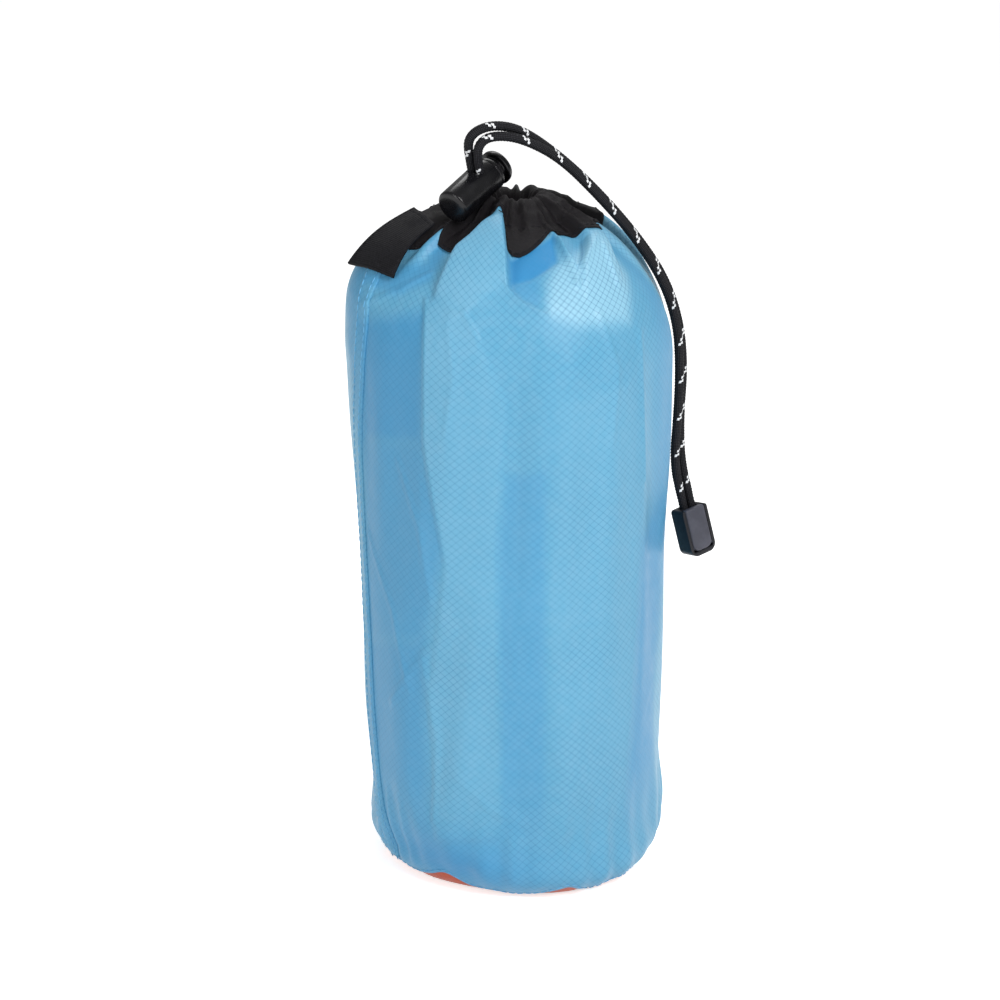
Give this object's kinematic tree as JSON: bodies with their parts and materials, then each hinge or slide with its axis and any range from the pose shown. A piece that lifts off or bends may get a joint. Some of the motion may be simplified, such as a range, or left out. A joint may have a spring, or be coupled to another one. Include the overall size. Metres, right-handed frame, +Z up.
{
  "type": "drawstring stuff sack",
  "caption": "Small cylindrical drawstring sack in ripstop cloth with a gathered dark collar, a sewn label, a sprung cord lock and a clip on the cord's end",
  "frame": {"origin": "middle of the base, on the face that the sack stands on", "axes": "+Z up through the mouth, -Y the front, +X to the right of the front; the free cord hangs on the +X side"},
  "size_m": [0.1289, 0.1128, 0.2705],
  "materials": {
    "ripstop": "light blue ripstop nylon with a soft sheen",
    "base_cloth": "orange-red ripstop nylon",
    "binding": "black bias tape",
    "collar_cloth": "black woven nylon",
    "black_thread": "black polyester thread",
    "cord": "black round braid with pale reflective flecks",
    "label": "black woven label, bare",
    "lock_plastic": "black moulded acetal, satin gloss",
    "clip_plastic": "black moulded plastic, satin",
    "clip_panel": "charcoal moulded plastic, fine grain",
    "spring_steel": "drawn spring wire"
  },
  "bodies": {
    "sack": {"base_panel": "base_cloth", "base_binding": "binding", "body_panel": "ripstop", "side_seam": "ripstop", "collar_tunnel": "collar_cloth", "exit_buttonhole": "black_thread", "drawcord_ring": "cord", "drawcord_outer": "cord", "drawcord_inner": "cord", "cord_tips": "cord", "clip_base": "clip_plastic"},
    "lock": {"lock_barrel": "lock_plastic", "lock_spring": "spring_steel"},
    "lock_button": {"lock_plunger": "lock_plastic"},
    "clip_door": {"clip_cover": "clip_panel"},
    "label": {"label_tab": "label"}
  },
  "joints": [
    {"name": "lock_slide", "type": "slide", "parent": "sack", "child": "lock", "axis": [-0.1882, -0.4004, 0.8968], "range_m": [0, 0.0025]},
    {"name": "lock_press", "type": "slide", "parent": "lock", "child": "lock_button", "axis": [-0.5802, -0.6914, -0.4305], "range_m": [0, 0.0022], "stiffness_N_per_m": 600, "springref_m": -0.003, "deforming": ["lock_spring"]},
    {"name": "clip_hinge", "type": "hinge", "parent": "sack", "child": "clip_door", "pos_m": [0.06745, -0.00207, 0.11626], "axis": [0.8028, 0.5621, 0.1987], "range_deg": [0, 90]},
    {"name": "label_lift", "type": "hinge", "parent": "sack", "child": "label", "pos_m": [-0.03253, -0.0112, 0.23143], "axis": [-0.3256, 0.9455, 0], "range_deg": [0, 60]}
  ]
}
